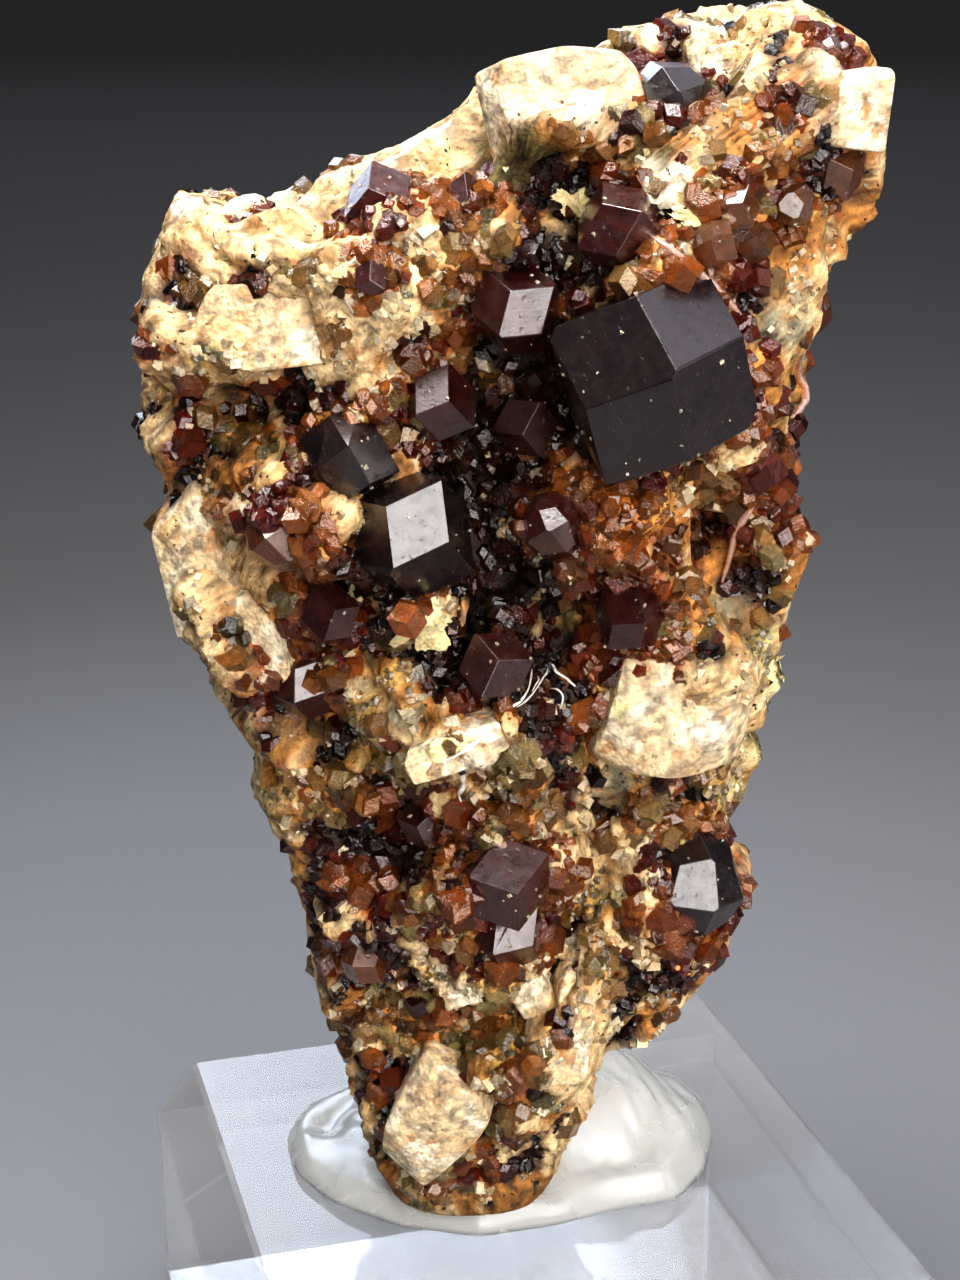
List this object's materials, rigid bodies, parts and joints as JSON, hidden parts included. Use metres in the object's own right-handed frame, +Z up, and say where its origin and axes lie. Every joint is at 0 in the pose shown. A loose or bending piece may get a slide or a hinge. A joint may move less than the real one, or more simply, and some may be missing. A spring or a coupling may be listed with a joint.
{
  "type": "mineral specimen",
  "caption": "Dark red garnet crystals in a broken slab of pale matrix, stood on end in clear gel on a bevelled clear block",
  "frame": {"origin": "centre of the underside of the clear block", "axes": "+Z up, the specimen's show face looks along -Y"},
  "size_m": [0.0556, 0.0556, 0.0949],
  "materials": {
    "matrix": "rough broken rock with a crust of small crystals",
    "garnet": "glossy natural crystal faces",
    "gel": "milky clear set gel",
    "acrylic": "polished clear acrylic"
  },
  "bodies": {
    "root": {"acrylic_block": "acrylic", "garnet_back_large": "garnet", "garnet_back_lower": "garnet", "garnet_back_small": "garnet", "garnet_back_upper": "garnet", "garnet_behind_main": "garnet", "garnet_foot_left": "garnet", "garnet_left_brown": "garnet", "garnet_left_foot": "garnet", "garnet_left_lower": "garnet", "garnet_left_round": "garnet", "garnet_lower_left": "garnet", "garnet_main": "garnet", "garnet_neighbour": "garnet", "garnet_right_foot": "garnet", "garnet_ring": "garnet", "garnet_top_corner": "garnet", "garnet_top_dome": "garnet", "garnet_top_left": "garnet", "garnet_top_left_small": "garnet", "garnet_top_mid": "garnet", "garnet_top_right": "garnet", "garnet_vug_deep": "garnet", "garnet_vug_foot": "garnet", "garnet_vug_lower": "garnet", "garnet_vug_red": "garnet", "garnet_vug_upper": "garnet", "garnets_left_pair": "garnet", "garnets_lower_pair": "garnet", "garnets_right_edge": "garnet", "garnets_upper_red": "garnet", "matrix": "matrix", "mounting_gel": "gel"}
  },
  "joints": []
}
